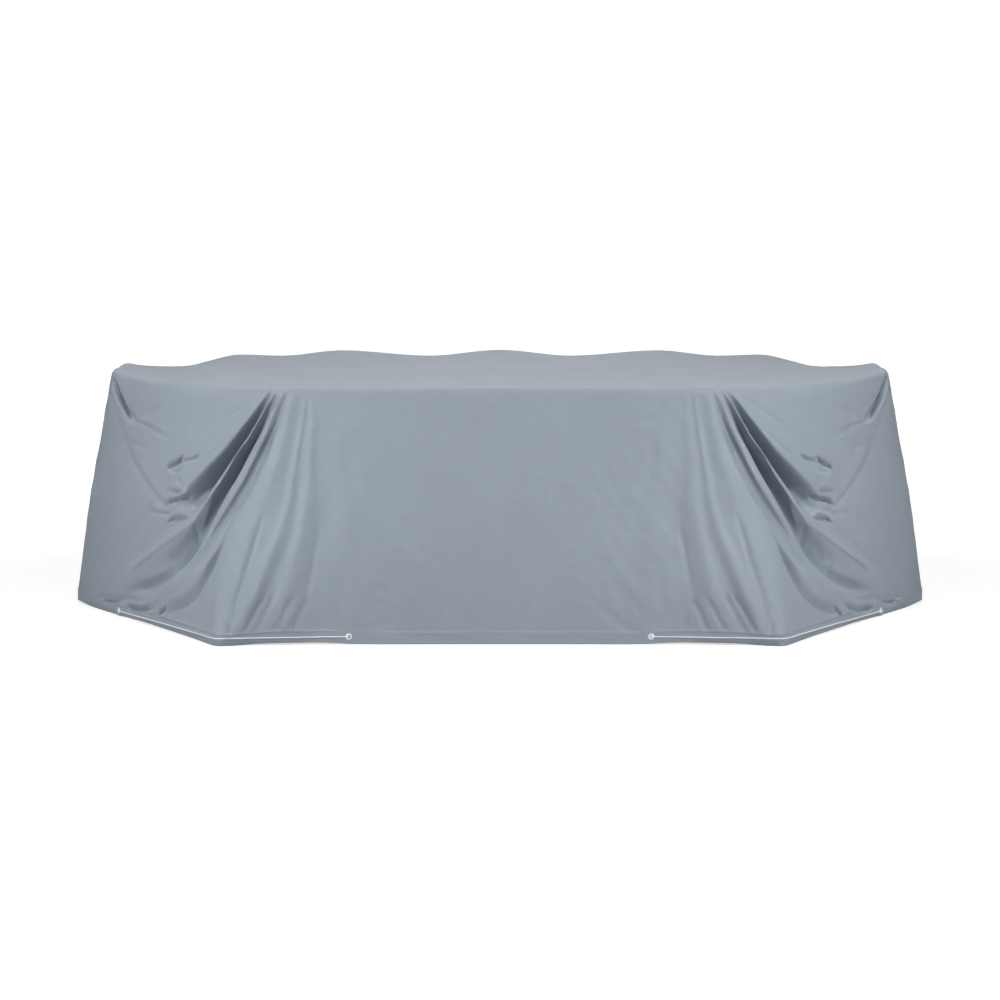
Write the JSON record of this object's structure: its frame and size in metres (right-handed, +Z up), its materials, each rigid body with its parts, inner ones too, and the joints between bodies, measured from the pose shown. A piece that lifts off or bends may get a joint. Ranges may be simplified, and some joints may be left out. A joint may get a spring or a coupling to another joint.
{
  "type": "patio furniture cover",
  "caption": "Fitted cloth cover, hollow and open below, that falls to the floor over a patio seating group, with folded corners and drawcords through eyelets in its hem.",
  "frame": {"origin": "on the floor, under the middle of the cover", "axes": "+X to the right along the cover's length as seen from the front, +Y to its back, +Z up"},
  "size_m": [3.0984, 1.9094, 0.871],
  "materials": {
    "cover_fabric": "coated polyester weave, blue-grey, soft sheen",
    "eyelet": "white, smooth",
    "cord": "white braided cord"
  },
  "bodies": {
    "root": {"cover_cloth": "cover_fabric", "eyelet_front_left": "eyelet", "eyelet_end_front_left": "eyelet", "eyelet_end_back_left": "eyelet", "eyelet_back_left": "eyelet", "eyelet_front_right": "eyelet", "eyelet_end_front_right": "eyelet", "eyelet_end_back_right": "eyelet", "eyelet_back_right": "eyelet", "drawcord_front_left": "cord", "drawcord_back_left": "cord", "drawcord_front_right": "cord", "drawcord_back_right": "cord"}
  },
  "joints": []
}
